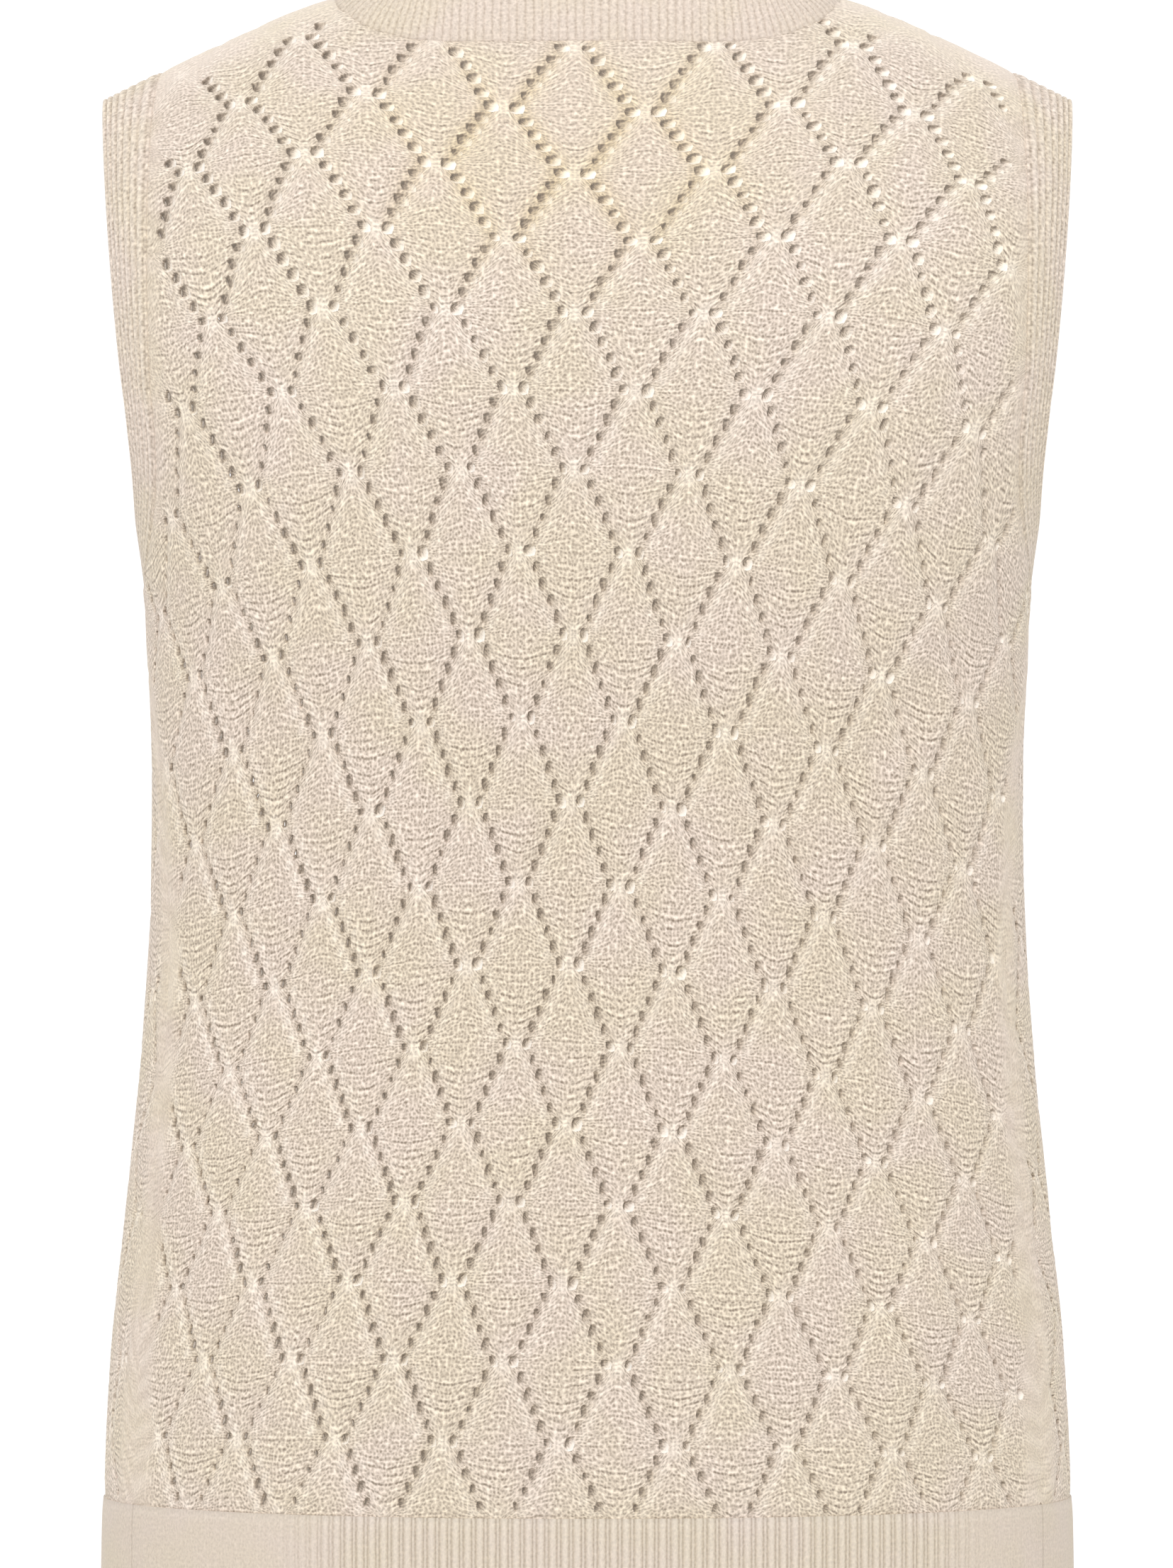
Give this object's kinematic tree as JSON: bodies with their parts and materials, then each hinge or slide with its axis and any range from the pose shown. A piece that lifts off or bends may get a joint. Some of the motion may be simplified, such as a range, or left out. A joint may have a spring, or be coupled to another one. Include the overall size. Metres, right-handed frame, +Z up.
{
  "type": "sweater vest",
  "caption": "Sleeveless knitted top with a diamond eyelet lace body and rib bands at the neck, armholes and hem, filled out as when worn.",
  "frame": {"origin": "midway between the neck ends of the two shoulder seams, where the wearer's shoulders carry the vest", "axes": "+Z up, +Y towards the wearer's back, +X towards the wearer's left side"},
  "size_m": [0.4004, 0.2359, 0.6884],
  "materials": {
    "pointelle_knit": "matt cream cotton knit, fine stitches with rows of eyelets in diamonds",
    "rib_knit": "matt cream cotton rib knit, fine upright ribs"
  },
  "bodies": {
    "root": {"back_panel": "pointelle_knit", "front_panel": "pointelle_knit", "hem_rib_back": "rib_knit", "hem_rib_front": "rib_knit", "neck_band": "rib_knit", "armhole_band_left": "rib_knit", "armhole_band_right": "rib_knit"}
  },
  "joints": []
}
